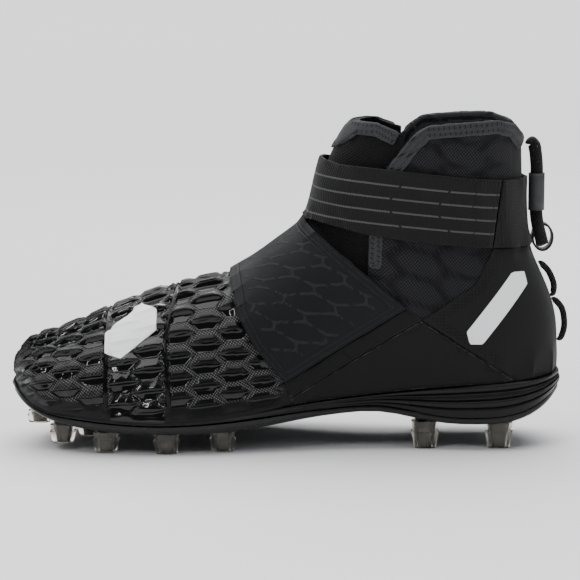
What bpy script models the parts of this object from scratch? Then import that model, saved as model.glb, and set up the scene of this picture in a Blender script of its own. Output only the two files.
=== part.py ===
"""High-top football cleat, one right shoe, seen from its inner side with the toe toward -X.

Metres, +Z up. The inner (medial) side faces -Y and the outer (lateral) side faces +Y.
The origin is on the floor below the middle of the shoe's box.
"""
import bpy
import bmesh
from math import cos, hypot, pi, sin
from mathutils import Vector

# Driving sizes of the sole
SOLE_LENGTH = 0.310
BALL_WIDTH = 0.106
RIM_HEIGHT = 0.030
STUD_HEIGHT = 0.0115
GROOVE_DEPTH = 0.0011
INSOLE_THICKNESS = 0.004

# Driving sizes of the upper
UPPER_RISE = 0.1775
ANKLE_WIDTH = 0.074
WALL = 0.0024
SCALE_RISE = 0.0018
SOLE_LEDGE = 0.0020
TONGUE_THICKNESS = 0.0030

# Thickness of what lies on the upper, and the clearance that meeting pieces keep
FIT = 0.0003
PANEL = 0.0009
BINDING = 0.0009
BINDING_WIDTH = 0.0065
STRAP = 0.0018
ANKLE_STRAP = 0.0014

# Studs, pull loop and cords at the heel
STUD_CORE_LENGTH = 0.0100
STUD_CORE_WIDTH = 0.0060
STUD_TIP_WALL = 0.0030
ROPE_RADIUS = 0.0036
SLEEVE_WALL = 0.0007
CORD_RADIUS = 0.0018
LOOP_WIDTH = 0.0090
LOOP_THICKNESS = 0.0012

TOE_X = -SOLE_LENGTH / 2
ARCH_STEPS = 20
BACK_STEPS = 8
VAMP_ROWS = (2, 11)
SHARP = 0.6
CUTTER_REACH = 0.090
SCALES_OVER_RIM = 0.007
SCALES_BEFORE_STRAP = 0.015

# Sole sections from toe to heel. at: share of SOLE_LENGTH. inner, outer: half widths as shares
# of BALL_WIDTH. rim, floor: top edge and underside as shares of RIM_HEIGHT above the studs.
# split: where midsole and plate meet, as a share of the depth below the rim.
SOLE = [
    dict(at=0.000, inner=0.100, outer=0.030, rim=0.84, floor=0.62, split=0.40),
    dict(at=0.008, inner=0.185, outer=0.110, rim=0.78, floor=0.56, split=0.40),
    dict(at=0.030, inner=0.275, outer=0.215, rim=0.58, floor=0.40, split=0.36),
    dict(at=0.070, inner=0.360, outer=0.310, rim=0.41, floor=0.22, split=0.32),
    dict(at=0.130, inner=0.425, outer=0.395, rim=0.34, floor=0.09, split=0.28),
    dict(at=0.200, inner=0.463, outer=0.458, rim=0.28, floor=0.02, split=0.27),
    dict(at=0.280, inner=0.474, outer=0.505, rim=0.25, floor=0.00, split=0.27),
    dict(at=0.360, inner=0.452, outer=0.527, rim=0.29, floor=0.00, split=0.28),
    dict(at=0.440, inner=0.405, outer=0.517, rim=0.38, floor=0.06, split=0.34),
    dict(at=0.520, inner=0.360, outer=0.480, rim=0.51, floor=0.20, split=0.44),
    dict(at=0.600, inner=0.328, outer=0.435, rim=0.61, floor=0.31, split=0.54),
    dict(at=0.680, inner=0.317, outer=0.397, rim=0.70, floor=0.34, split=0.64),
    dict(at=0.740, inner=0.325, outer=0.378, rim=0.77, floor=0.20, split=0.74),
    dict(at=0.800, inner=0.338, outer=0.366, rim=0.83, floor=0.11, split=0.79),
    dict(at=0.860, inner=0.345, outer=0.358, rim=0.88, floor=0.11, split=0.80),
    dict(at=0.910, inner=0.332, outer=0.341, rim=0.92, floor=0.15, split=0.79),
    dict(at=0.955, inner=0.280, outer=0.288, rim=0.96, floor=0.32, split=0.76),
    dict(at=0.985, inner=0.185, outer=0.192, rim=0.99, floor=0.52, split=0.72),
    dict(at=1.000, inner=0.075, outer=0.080, rim=1.00, floor=0.66, split=0.70),
]

# Rings of the upper, fanned from the toe's edge up to the collar. side: where the ring leaves the
# sole, or its widest place above the heel, as a share of SOLE_LENGTH. top, rise: its highest or
# foremost point, as shares of SOLE_LENGTH and UPPER_RISE. bulge: how far the wall swells past its
# lower edge, as a share of BALL_WIDTH. crown: 2 is an ellipse, more is squarer.
# lift, girth: side height and half width above the sole, as shares of UPPER_RISE and ANKLE_WIDTH.
# back, back_rise: rearmost point, as shares of SOLE_LENGTH and UPPER_RISE.
UPPER = [
    dict(side=0.075, top=0.012, rise=0.150, bulge=0.00, crown=2.2),
    dict(side=0.086, top=0.008, rise=0.195, bulge=0.00, crown=2.2),
    dict(side=0.102, top=0.014, rise=0.228, bulge=0.01, crown=2.2),
    dict(side=0.126, top=0.034, rise=0.256, bulge=0.01, crown=2.2),
    dict(side=0.155, top=0.063, rise=0.276, bulge=0.02, crown=2.2),
    dict(side=0.190, top=0.101, rise=0.298, bulge=0.02, crown=2.2),
    dict(side=0.228, top=0.148, rise=0.332, bulge=0.02, crown=2.2),
    dict(side=0.268, top=0.200, rise=0.372, bulge=0.02, crown=2.1),
    dict(side=0.312, top=0.252, rise=0.405, bulge=0.02, crown=2.1),
    dict(side=0.358, top=0.304, rise=0.432, bulge=0.02, crown=2.1),
    dict(side=0.403, top=0.352, rise=0.454, bulge=0.02, crown=2.1),
    dict(side=0.448, top=0.398, rise=0.480, bulge=0.02, crown=2.1),
    dict(side=0.500, top=0.442, rise=0.525, bulge=0.02, crown=2.1),
    dict(side=0.558, top=0.486, rise=0.580, bulge=0.03, crown=2.2),
    dict(side=0.622, top=0.523, rise=0.629, bulge=0.04, crown=2.3),
    dict(side=0.692, top=0.542, rise=0.672, bulge=0.04, crown=2.5),
    dict(side=0.764, top=0.550, rise=0.713, bulge=0.03, crown=2.7),
    dict(side=0.830, top=0.555, rise=0.753, bulge=0.02, crown=2.9, lift=0.155, girth=0.49,
         back=0.994, back_rise=0.176),
    dict(side=0.834, top=0.560, rise=0.791, bulge=0.02, crown=2.9, lift=0.235, girth=0.495,
         back=0.993, back_rise=0.255),
    dict(side=0.832, top=0.565, rise=0.826, bulge=0.01, crown=2.8, lift=0.320, girth=0.500,
         back=0.989, back_rise=0.340),
    dict(side=0.826, top=0.571, rise=0.858, bulge=0.01, crown=2.6, lift=0.415, girth=0.495,
         back=0.974, back_rise=0.430),
    dict(side=0.816, top=0.579, rise=0.889, bulge=0.00, crown=2.5, lift=0.515, girth=0.485,
         back=0.950, back_rise=0.525),
    dict(side=0.806, top=0.588, rise=0.918, bulge=0.00, crown=2.4, lift=0.615, girth=0.475,
         back=0.933, back_rise=0.620),
    dict(side=0.800, top=0.599, rise=0.946, bulge=0.00, crown=2.3, lift=0.715, girth=0.475,
         back=0.929, back_rise=0.720),
    dict(side=0.798, top=0.611, rise=0.972, bulge=0.00, crown=2.3, lift=0.815, girth=0.480,
         back=0.929, back_rise=0.820),
    dict(side=0.798, top=0.624, rise=0.997, bulge=0.00, crown=2.3, lift=0.915, girth=0.485,
         back=0.927, back_rise=0.920),
    dict(side=0.798, top=0.638, rise=1.025, bulge=0.00, crown=2.3, lift=1.020, girth=0.490,
         back=0.924, back_rise=1.020),
]
HEEL_ROW = 17

# Outlines in the side view, as (share of SOLE_LENGTH from the toe, share of UPPER_RISE).
COLLAR_LINE = [(0.647, 0.487), (0.649, 0.640), (0.680, 0.830), (0.722, 0.930), (0.748, 0.965),
               (0.826, 0.975), (0.880, 0.980), (0.912, 0.960), (0.935, 0.905)]
BINDING_START = (0.6473, 0.520)
THROAT_FLOOR = [(0.400, 0.700), (0.420, 0.600), (0.520, 0.530), (0.625, 0.440)]
TONGUE_TOP = [(0.560, 0.900), (0.597, 0.938), (0.622, 0.966), (0.665, 0.968), (0.700, 0.935),
              (0.712, 0.925)]
TONGUE_SIDE = [(0.712, 0.850), (0.690, 0.700), (0.682, 0.480), (0.660, 0.400), (0.500, 0.420),
               (0.390, 0.520), (0.360, 0.800)]
STRAP_FRONT = [(0.380, 0.700), (0.398, 0.475), (0.412, 0.370), (0.443, 0.270), (0.497, 0.158)]
STRAP_REAR = [(0.716, 0.393), (0.536, 0.648), (0.500, 0.760)]
BAND_END = [(0.742, 0.356), (0.506, 0.108)]
PANEL_CORNER = (0.914, 0.162)
COUNTER_TOP = [(0.742, 0.356), (0.800, 0.420), (0.838, 0.466), (0.872, 0.580), (0.990, 0.572)]
ANKLE_TOP = [(0.500, 0.860), (0.560, 0.853), (0.596, 0.838), (0.667, 0.829), (0.738, 0.818),
             (0.826, 0.802), (0.885, 0.793)]
ANKLE_FLOOR = [(0.868, 0.583), (0.774, 0.596), (0.703, 0.610), (0.643, 0.626), (0.545, 0.663),
               (0.500, 0.678)]
TAB_END = 0.98
FAR_STRAP_END = 0.750

# Studs: at, across as shares of SOLE_LENGTH and BALL_WIDTH; lift: foot of the stud above the floor.
STUDS = {
    "toe": dict(at=0.046, across=-0.050, lift=0.0110),
    "inner_1": dict(at=0.095, across=-0.270, lift=0.0042),
    "outer_1": dict(at=0.100, across=0.245, lift=0.0042),
    "centre": dict(at=0.137, across=0.000, lift=0.0020),
    "inner_2": dict(at=0.175, across=-0.350, lift=0.0008),
    "outer_2": dict(at=0.185, across=0.345, lift=0.0008),
    "inner_3": dict(at=0.284, across=-0.370, lift=0.0),
    "outer_3": dict(at=0.300, across=0.405, lift=0.0),
    "inner_4": dict(at=0.385, across=-0.315, lift=0.0),
    "outer_4": dict(at=0.410, across=0.400, lift=0.0),
    "heel_inner_1": dict(at=0.752, across=-0.225, lift=0.0),
    "heel_outer_1": dict(at=0.758, across=0.260, lift=0.0),
    "heel_inner_2": dict(at=0.886, across=-0.220, lift=0.0),
    "heel_outer_2": dict(at=0.905, across=0.210, lift=0.0),
}

# Rope of the pull loop, down the back of the heel: behind the upper's back at the collar and toward
# the outer side in metres, and its height as a share of UPPER_RISE.
ROPE_ROUTE = [(0.0028, 0.0, 0.8873), (0.0034, 0.0, 0.8997), (0.0050, 0.0, 0.8715), (0.0060, 0.0, 0.8141),
              (0.0060, 0.0, 0.7465), (0.0060, 0.0, 0.7014), (0.0060, 0.0, 0.6676),
              (0.0068, -0.0030, 0.6310), (0.0080, -0.0062, 0.6000), (0.0092, -0.0080, 0.5718)]
SLEEVE_TOP = 0.7972
SLEEVE_LENGTH = 0.0210

# Cords down the heel's spine: top and low end as shares of UPPER_RISE, and how far the arch stands
# out. The tape loop: height of its centre as a share of UPPER_RISE, place across and half sizes.
SPINE_CORDS = {"spine_cord_upper": (0.5042, 0.4113, 0.0044), "spine_cord_lower": (0.3859, 0.2676, 0.0048)}
LOOP_CENTRE = 0.5887
LOOP_ACROSS = 0.0062
LOOP_HALF_DEPTH = 0.0062
LOOP_HALF_HEIGHT = 0.0080

# Stations along the sole, closer together at its ends
STATION_COUNT = 24
STATIONS = [(1 - cos(pi * k / (STATION_COUNT - 1))) / 2 for k in range(STATION_COUNT)]


def remove_everything():
    """Empty the scene that the file opens with."""
    for obj in list(bpy.data.objects):
        bpy.data.objects.remove(obj, do_unlink=True)


def new_collection(name):
    collection = bpy.data.collections.new(name)
    bpy.context.scene.collection.children.link(collection)
    return collection


def material(name, colour, roughness, metallic=0.0):
    """A plain Principled material in the colour of one part."""
    mat = bpy.data.materials.new(name)
    mat.use_nodes = True
    shader = mat.node_tree.nodes["Principled BSDF"]
    shader.inputs["Base Color"].default_value = (*colour, 1.0)
    shader.inputs["Roughness"].default_value = roughness
    shader.inputs["Metallic"].default_value = metallic
    return mat


def place(name, bm, collection, mat=None):
    """Turn a bmesh into a named object with outward faces."""
    bmesh.ops.recalc_face_normals(bm, faces=bm.faces[:])
    mesh = bpy.data.meshes.new(name)
    bm.to_mesh(mesh)
    bm.free()
    obj = bpy.data.objects.new(name, mesh)
    collection.objects.link(obj)
    if mat:
        mesh.materials.append(mat)
        mesh.shade_smooth()
        mesh.set_sharp_from_angle(angle=SHARP)
    return obj


def smooth_value(rows, column, key, at):
    """Read one column of a table at a place between its rows, along a smooth curve."""
    last = len(rows) - 1
    i = 0
    while i < last - 1 and at > rows[i + 1][key]:
        i += 1
    a, b = rows[i], rows[i + 1]
    span = b[key] - a[key]
    before = rows[max(i - 1, 0)]
    after = rows[min(i + 2, last)]
    t = min(max((at - a[key]) / span, 0.0), 1.0)
    slope_a = (b[column] - before[column]) / (b[key] - before[key])
    slope_b = (after[column] - a[column]) / (after[key] - a[key])
    return ((2 * t**3 - 3 * t**2 + 1) * a[column] + (t**3 - 2 * t**2 + t) * span * slope_a
            + (3 * t**2 - 2 * t**3) * b[column] + (t**3 - t**2) * span * slope_b)


def station_height(column, x):
    """Height of the rim or the underside at x, straight between the stations."""
    share = min(max((x - TOE_X) / SOLE_LENGTH, 0.0), 1.0)
    k = 0
    while k < STATION_COUNT - 2 and share > STATIONS[k + 1]:
        k += 1
    t = (share - STATIONS[k]) / (STATIONS[k + 1] - STATIONS[k])
    low = smooth_value(SOLE, column, "at", STATIONS[k])
    high = smooth_value(SOLE, column, "at", STATIONS[k + 1])
    value = low + (high - low) * t
    return value if column == "split" else STUD_HEIGHT + value * RIM_HEIGHT


def sole_outline(inset):
    """Plan outline of the sole, pulled in by inset: inner side toe to heel, then the outer side."""
    near = [Vector((TOE_X + s * SOLE_LENGTH, -smooth_value(SOLE, "inner", "at", s) * BALL_WIDTH))
            for s in STATIONS]
    far = [Vector((TOE_X + s * SOLE_LENGTH, smooth_value(SOLE, "outer", "at", s) * BALL_WIDTH))
           for s in STATIONS]
    loop = near + far[::-1]
    count = len(loop)
    moved = []
    for i, point in enumerate(loop):
        run = loop[(i + 1) % count] - loop[i - 1]
        moved.append(point + Vector((-run.y, run.x)) / run.length * inset)
    return moved


def ring_mesh(rings):
    """A closed body through rings of paired points, capped by ladders from side to side."""
    bm = bmesh.new()
    rows = [[bm.verts.new(p) for p in ring] for ring in rings]
    count = len(rows[0])
    for low, high in zip(rows, rows[1:]):
        for i in range(count):
            j = (i + 1) % count
            bm.faces.new((low[i], low[j], high[j], high[i]))
    for row in (rows[0], rows[-1]):
        for i in range(count // 2 - 1):
            bm.faces.new((row[i], row[i + 1], row[count - 2 - i], row[count - 1 - i]))
    return bm


def sole_ring(inset, height):
    """One level of the sole: the outline pulled in, at the height that a function gives for x."""
    return [Vector((p.x, p.y, height(p.x))) for p in sole_outline(inset)]


def midsole_height(share):
    """Height at a share of the midsole's side, rim at 0 and its meeting line with the plate at 1."""
    def height(x):
        rim = station_height("rim", x)
        return rim + (station_height("floor", x) - rim) * station_height("split", x) * share
    return height


def heel_fade(x):
    """Grows from 0 at the arch to 1 at the heel, where the grooves of the midsole are deep."""
    share = (x - TOE_X) / SOLE_LENGTH
    return min(max((share - 0.55) / 0.2, 0.0), 1.0)


def build_midsole(collection):
    levels = [(0.0, 0.0012, 0), (0.05, 0.0, 0), (0.17, 0.0, 0), (0.22, 0.0, 1), (0.28, 0.0, 0),
              (0.41, -0.0004, 0), (0.46, -0.0004, 1), (0.52, -0.0006, 0), (0.66, -0.0006, 0),
              (0.71, -0.0006, 1), (0.77, -0.0004, 0), (1.0, 0.0006, 0)]
    rings = []
    for share, inset, grooved in levels:
        ring = sole_ring(inset, midsole_height(share))
        if grooved:
            deep = sole_ring(inset + GROOVE_DEPTH, midsole_height(share))
            ring = [p.lerp(q, heel_fade(p.x)) for p, q in zip(ring, deep)]
        rings.append(ring)
    mat = material("midsole_foam", (0.022, 0.022, 0.024), 0.5)
    return place("midsole", ring_mesh(rings), collection, mat)


def stud_section(stud, grow, z):
    """Eight corners of a stud at height z: it narrows toward its foot."""
    x = TOE_X + stud["at"] * SOLE_LENGTH
    y = stud["across"] * BALL_WIDTH
    taper = 0.68 + 0.32 * (z - stud["lift"]) / STUD_HEIGHT
    half_x = STUD_CORE_LENGTH / 2 * taper + grow
    half_y = STUD_CORE_WIDTH / 2 * taper + grow
    corners = []
    for sx, sy in ((-1, -1), (1, -1), (1, 1), (-1, 1)):
        first = Vector((x + sx * half_x, y + sy * half_y * 0.55, z))
        second = Vector((x + sx * half_x * 0.62, y + sy * half_y, z))
        corners += [first, second] if sx * sy > 0 else [second, first]
    return corners


def stud_root(stud):
    """Lowest point of the plate's underside over one stud's footprint."""
    x = TOE_X + stud["at"] * SOLE_LENGTH
    reach = STUD_CORE_LENGTH / 2 + STUD_TIP_WALL
    return min(station_height("floor", x + step * reach / 4) for step in range(-4, 5))


def loft_corners(sections, closed_ring=False):
    """A body through like polygons; a closed ring joins the last section to the first."""
    bm = bmesh.new()
    rows = [[bm.verts.new(p) for p in section] for section in sections]
    count = len(rows[0])
    pairs = list(zip(rows, rows[1:]))
    if closed_ring:
        pairs.append((rows[-1], rows[0]))
    for low, high in pairs:
        for i in range(count):
            j = (i + 1) % count
            bm.faces.new((low[i], low[j], high[j], high[i]))
    if not closed_ring:
        bm.faces.new(rows[0])
        bm.faces.new(rows[-1])
    return bm


def boolean(obj, other, operation):
    """Apply one exact Boolean to obj and remove the other body."""
    modifier = obj.modifiers.new(operation.lower(), "BOOLEAN")
    modifier.object = other
    modifier.operation = operation
    modifier.solver = "EXACT"
    depsgraph = bpy.context.evaluated_depsgraph_get()
    mesh = bpy.data.meshes.new_from_object(obj.evaluated_get(depsgraph))
    obj.modifiers.remove(modifier)
    mesh.materials.clear()
    for slot in obj.data.materials:
        mesh.materials.append(slot)
    obj.data = mesh
    bpy.data.objects.remove(other, do_unlink=True)
    return obj


def build_outsole(collection, cutters):
    """The plate with the core of each stud joined to it."""
    def below_split(x):
        return midsole_height(1.0)(x) - FIT
    def side(share, drop=0.0):
        return lambda x: below_split(x) + (station_height("floor", x) - below_split(x)) * share - drop
    rings = [sole_ring(0.0022, below_split), sole_ring(0.0006, side(0.06)), sole_ring(0.0004, side(0.5)),
             sole_ring(0.0018, side(0.86)), sole_ring(0.0045, side(1.0))]
    mat = material("smoked_plate", (0.030, 0.030, 0.032), 0.22)
    plate = place("outsole_plate", ring_mesh(rings), collection, mat)
    for name, stud in STUDS.items():
        root = stud_root(stud)
        levels = [stud["lift"] + FIT, (stud["lift"] + root) / 2, root + 0.0020]
        core = loft_corners([stud_section(stud, 0.0, z) for z in levels])
        boolean(plate, place("core_" + name, core, cutters), "UNION")
    return plate


def build_stud_tip(name, stud, collection):
    """A clear sleeve round the core of one stud, stepped on its outside."""
    top = stud_root(stud) - FIT
    foot = stud["lift"]
    step = foot + (top - foot) * 0.62
    outside = [stud_section(stud, STUD_TIP_WALL * 0.80, foot), stud_section(stud, STUD_TIP_WALL, step),
               stud_section(stud, STUD_TIP_WALL * 0.62, step), stud_section(stud, STUD_TIP_WALL * 0.75, top)]
    inside = [stud_section(stud, FIT, top), stud_section(stud, FIT, foot)]
    mat = material("clear_tip_" + name, (0.42, 0.40, 0.34), 0.12)
    return place("stud_tip_" + name, loft_corners(outside + inside, True), collection, mat)


def build_insole(collection):
    inset = SOLE_LEDGE + WALL + 0.0022
    def bottom(x):
        return station_height("rim", x) + FIT
    def top(x):
        return bottom(x) + INSOLE_THICKNESS
    rings = [sole_ring(inset + 0.0008, bottom), sole_ring(inset, lambda x: bottom(x) + INSOLE_THICKNESS / 2),
             sole_ring(inset + 0.0016, top)]
    mat = material("sockliner", (0.05, 0.05, 0.055), 0.9)
    return place("insole", ring_mesh(rings), collection, mat)


def resample(points, steps):
    """The same line with equal steps along it."""
    lengths = [0.0]
    for a, b in zip(points, points[1:]):
        lengths.append(lengths[-1] + (b - a).length)
    result = []
    k = 0
    for n in range(steps + 1):
        want = lengths[-1] * n / steps
        while k < len(points) - 2 and lengths[k + 1] < want:
            k += 1
        span = lengths[k + 1] - lengths[k]
        result.append(points[k].lerp(points[k + 1], (want - lengths[k]) / span if span else 0.0))
    return result


def edge_points(from_share, toe_end):
    """The sole's outline, inset by the ledge, round the toe or the heel from the given station."""
    loop = sole_outline(SOLE_LEDGE)
    start = TOE_X + from_share * SOLE_LENGTH
    half = len(loop) // 2
    near, far = loop[:half], loop[half:][::-1]
    chosen = []
    for line, sign in ((near, -1), (far, 1)):
        if toe_end:
            part = [p for p in line if p.x < start - 0.001]
        else:
            part = [p for p in line if p.x > start + 0.001]
        corner = Vector((start, sign * half_width(from_share, sign)))
        part = part + [corner] if toe_end else [corner] + part
        chosen.append(part)
    first = chosen[0][::-1] if toe_end else chosen[0]
    second = chosen[1] if toe_end else chosen[1][::-1]
    return [Vector((p.x, p.y, station_height("rim", p.x) + FIT)) for p in first + second]


def half_width(share, sign):
    """Half width of the upper where it meets the sole, inner side for a negative sign."""
    column = "inner" if sign < 0 else "outer"
    return smooth_value(SOLE, column, "at", share) * BALL_WIDTH - SOLE_LEDGE


def ring_columns(row):
    """The upper's table at a place between its rows."""
    rows = [dict(entry, row=i) for i, entry in enumerate(UPPER)]
    names = ["side", "top", "rise", "bulge", "crown"]
    if row >= HEEL_ROW:
        rows = rows[HEEL_ROW:]
        names += ["lift", "girth", "back", "back_rise"]
    return {name: smooth_value(rows, name, "row", row) for name in names}


def upper_ring(row):
    """One ring of the upper: an arch from inner edge over the top to outer edge, and its back."""
    ring = ring_columns(row)
    side_x = TOE_X + ring["side"] * SOLE_LENGTH
    on_sole = row <= HEEL_ROW
    if row == 0:
        return resample(edge_points(ring["side"], True), ARCH_STEPS), []
    top = Vector((TOE_X + ring["top"] * SOLE_LENGTH, 0.0, STUD_HEIGHT + ring["rise"] * UPPER_RISE))
    toe_lean = min(row, 5) / 5
    top.y = -0.0045 + 0.0045 * min(row / HEEL_ROW, 1.0) * toe_lean
    line = []
    steps = 96
    for n in range(steps + 1):
        angle = pi * n / steps
        sign = -1 if angle < pi / 2 else 1
        height = sin(angle) ** (2 / ring["crown"]) if 0 < n < steps else 0.0
        spread = abs(cos(angle)) ** (2 / ring["crown"])
        if on_sole:
            width = half_width(ring["side"], sign)
            side_z = station_height("rim", side_x) + FIT
        else:
            width = ring["girth"] * ANKLE_WIDTH
            side_z = STUD_HEIGHT + ring["lift"] * UPPER_RISE
        swell = ring["bulge"] * BALL_WIDTH * abs(sin(2 * angle))
        line.append(Vector((side_x + (top.x - side_x) * height,
                            top.y * height + sign * (width * spread + swell),
                            side_z + (top.z - side_z) * height)))
    arch = resample(line, ARCH_STEPS)
    if row < HEEL_ROW:
        return arch, []
    if row == HEEL_ROW:
        back = edge_points(ring["side"], False)
    else:
        back = []
        reach = TOE_X + ring["back"] * SOLE_LENGTH - side_x
        back_z = STUD_HEIGHT + ring["back_rise"] * UPPER_RISE
        for n in range(steps + 1):
            angle = pi * n / steps
            out = sin(angle) ** (2 / 2.2) if 0 < n < steps else 0.0
            across = abs(cos(angle)) ** (2 / 2.2) * (-1 if angle < pi / 2 else 1)
            back.append(Vector((side_x + reach * out, across * ring["girth"] * ANKLE_WIDTH,
                                line[0].z + (back_z - line[0].z) * out)))
    return arch, resample(back, BACK_STEPS)[1:-1]


def ring_rows():
    """Ring numbers of the grid: half steps where the scales are, whole steps behind them."""
    start, end = VAMP_ROWS
    scaled = [k / 2 for k in range(2 * start, 2 * end)]
    return list(range(start)) + scaled + list(range(end, len(UPPER)))


def upper_grid():
    """The last's surface as an open bmesh, with its vertices by row, ready to be lifted."""
    bm = bmesh.new()
    grid = []
    for row in ring_rows():
        arch, back = upper_ring(row)
        grid.append(([bm.verts.new(p) for p in arch], [bm.verts.new(p) for p in back]))
    strip_faces(bm, grid)
    bmesh.ops.recalc_face_normals(bm, faces=bm.faces[:])
    middle = grid[len(grid) // 2][0][ARCH_STEPS // 2]
    if middle.normal.z < 0:
        bmesh.ops.reverse_faces(bm, faces=bm.faces[:])
    bm.normal_update()
    return bm, grid


def lifted_points(lift_of):
    """Every grid point moved along its normal; points on the sole stay just above the rim."""
    bm, grid = upper_grid()
    heel = ring_rows().index(HEEL_ROW)
    result = []
    for i, (arch, back) in enumerate(grid):
        line = []
        for j, vert in enumerate(arch + back):
            on_edge = i == 0 or (i <= heel and j in (0, ARCH_STEPS)) or (i == heel and j > ARCH_STEPS)
            normal = vert.normal.copy()
            if on_edge:
                normal.z = 0.0
                normal.normalize()
            point = vert.co + normal * lift_of(i, j, vert.co)
            if on_edge:
                point.z = station_height("rim", point.x) + FIT
            line.append(point)
        result.append((line[:ARCH_STEPS + 1], line[ARCH_STEPS + 1:]))
    bm.free()
    return result


def strip_faces(bm, grid):
    """Faces of the open surface over a grid, split on like diagonals so that layers stay parallel."""
    def split(a, b, c, d):
        bm.faces.new((a, b, c))
        bm.faces.new((a, c, d))
    for (arch_a, back_a), (arch_b, back_b) in zip(grid, grid[1:]):
        for j in range(ARCH_STEPS):
            if j < ARCH_STEPS // 2:
                split(arch_a[j], arch_b[j], arch_b[j + 1], arch_a[j + 1])
            else:
                split(arch_a[j + 1], arch_a[j], arch_b[j], arch_b[j + 1])
        if back_a:
            low = [arch_a[0]] + back_a + [arch_a[-1]]
            high = [arch_b[0]] + back_b + [arch_b[-1]]
            for j in range(BACK_STEPS):
                split(low[j], low[j + 1], high[j + 1], high[j])


def rim_loops(grid):
    """The edge on the sole and the edge at the collar, each as a closed list of vertices."""
    heel = ring_rows().index(HEEL_ROW)
    near = [grid[i][0][0] for i in range(1, heel + 1)]
    far = [grid[i][0][-1] for i in range(1, heel + 1)]
    sole = near + grid[heel][1] + far[::-1] + grid[0][0][::-1]
    collar = grid[-1][0] + grid[-1][1][::-1]
    return sole, collar


def form(name, lift, collection):
    """The last as one closed body, its whole surface moved out by lift."""
    bm = bmesh.new()
    grid = [([bm.verts.new(p) for p in arch], [bm.verts.new(p) for p in back])
            for arch, back in lifted_points(lambda i, j, point: lift)]
    strip_faces(bm, grid)
    heel = ring_rows().index(HEEL_ROW)
    for i in range(heel):
        a, b = grid[i][0], grid[i + 1][0]
        bm.faces.new((a[0], a[-1], b[-1], b[0]))
    bm.faces.new(grid[0][0])
    bm.faces.new([grid[heel][0][0]] + grid[heel][1] + [grid[heel][0][-1]])
    bm.faces.new(rim_loops(grid)[1])
    bmesh.ops.triangulate(bm, faces=[f for f in bm.faces if len(f.verts) > 4])
    return place(name, bm, collection)


def side_point(pair):
    """A point of a side outline in metres."""
    return Vector((TOE_X + pair[0] * SOLE_LENGTH, 0.0, STUD_HEIGHT + pair[1] * UPPER_RISE))


def prism(name, outline, collection, low=-CUTTER_REACH, high=CUTTER_REACH):
    """A cutter with the given side outline, straight across the shoe."""
    bm = bmesh.new()
    near = [bm.verts.new((p.x, low, p.z)) for p in outline]
    far = [bm.verts.new((p.x, high, p.z)) for p in outline]
    count = len(outline)
    bm.faces.new(near)
    bm.faces.new(far[::-1])
    for i in range(count):
        j = (i + 1) % count
        bm.faces.new((near[i], far[i], far[j], near[j]))
    return place(name, bm, collection)


def rim_line(start, end, above=0.0):
    """The sole's top edge between two stations, as side points a little above it."""
    inside = [s for s in STATIONS if min(start, end) < s < max(start, end)]
    if start > end:
        inside = inside[::-1]
    xs = [TOE_X + s * SOLE_LENGTH for s in [start] + inside + [end]]
    return [Vector((x, 0.0, station_height("rim", x) + 3 * FIT + above)) for x in xs]


def layer(name, low, high, outline, collection, cutters, mat, near=-CUTTER_REACH, far=CUTTER_REACH):
    """What lies between two lifted forms inside a side outline, as one solid."""
    body = prism(name, outline, collection, near, far)
    body.data.materials.append(mat)
    boolean(body, form(name + "_outer", high, cutters), "INTERSECT")
    boolean(body, form(name + "_inner", low, cutters), "DIFFERENCE")
    body.data.shade_smooth()
    body.data.set_sharp_from_angle(angle=SHARP)
    return body


def ahead_of_strap(point):
    """How far a point lies in front of the midfoot strap's front edge."""
    line = [side_point(p) for p in STRAP_FRONT]
    for a, b in zip(line, line[1:]):
        if a.z >= point.z >= b.z:
            return a.x + (b.x - a.x) * (a.z - point.z) / (a.z - b.z) - point.x
    return line[0].x - point.x if point.z > line[0].z else line[-1].x - point.x


def scale_lift(i, j, point):
    """Raised points of the moulded scales on the forefoot, every second point of the grid."""
    clear_of_sole = point.z - station_height("rim", point.x) > SCALES_OVER_RIM
    in_front = ahead_of_strap(point) > SCALES_BEFORE_STRAP
    return SCALE_RISE if (i + j) % 2 and i > 3 and clear_of_sole and in_front else 0.0


def build_upper(collection, cutters):
    """One hollow wall from the sole to the collar, cut at the throat and along the collar."""
    bm = bmesh.new()
    outer = [([bm.verts.new(p) for p in a], [bm.verts.new(p) for p in b])
             for a, b in lifted_points(scale_lift)]
    strip_faces(bm, outer)
    inner = [([bm.verts.new(p) for p in a], [bm.verts.new(p) for p in b])
             for a, b in lifted_points(lambda i, j, point: -WALL)]
    strip_faces(bm, inner)
    for loop_out, loop_in in zip(rim_loops(outer), rim_loops(inner)):
        count = len(loop_out)
        for k in range(count):
            n = (k + 1) % count
            bm.faces.new((loop_out[k], loop_out[n], loop_in[n], loop_in[k]))
    mat = material("knit_and_moulded_skin", (0.018, 0.018, 0.020), 0.45)
    upper = place("upper", bm, collection, mat)
    line = [side_point(p) for p in COLLAR_LINE]
    opening = [side_point(p) for p in THROAT_FLOOR] + line
    above = STUD_HEIGHT + UPPER_RISE * 1.3
    opening += [Vector((line[-1].x + 0.03, 0, line[-1].z)), Vector((line[-1].x + 0.03, 0, above)),
                Vector((opening[0].x, 0, above))]
    boolean(upper, prism("opening_cutter", opening, cutters), "DIFFERENCE")
    upper.data.shade_smooth()
    upper.data.set_sharp_from_angle(angle=SHARP)
    return upper


def offset_line(line, distance):
    """A side line moved sideways, to its right in the direction it runs."""
    moved = []
    for i, point in enumerate(line):
        run = line[min(i + 1, len(line) - 1)] - line[max(i - 1, 0)]
        moved.append(point + Vector((run.z, 0.0, -run.x)) / hypot(run.x, run.z) * distance)
    return moved


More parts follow.
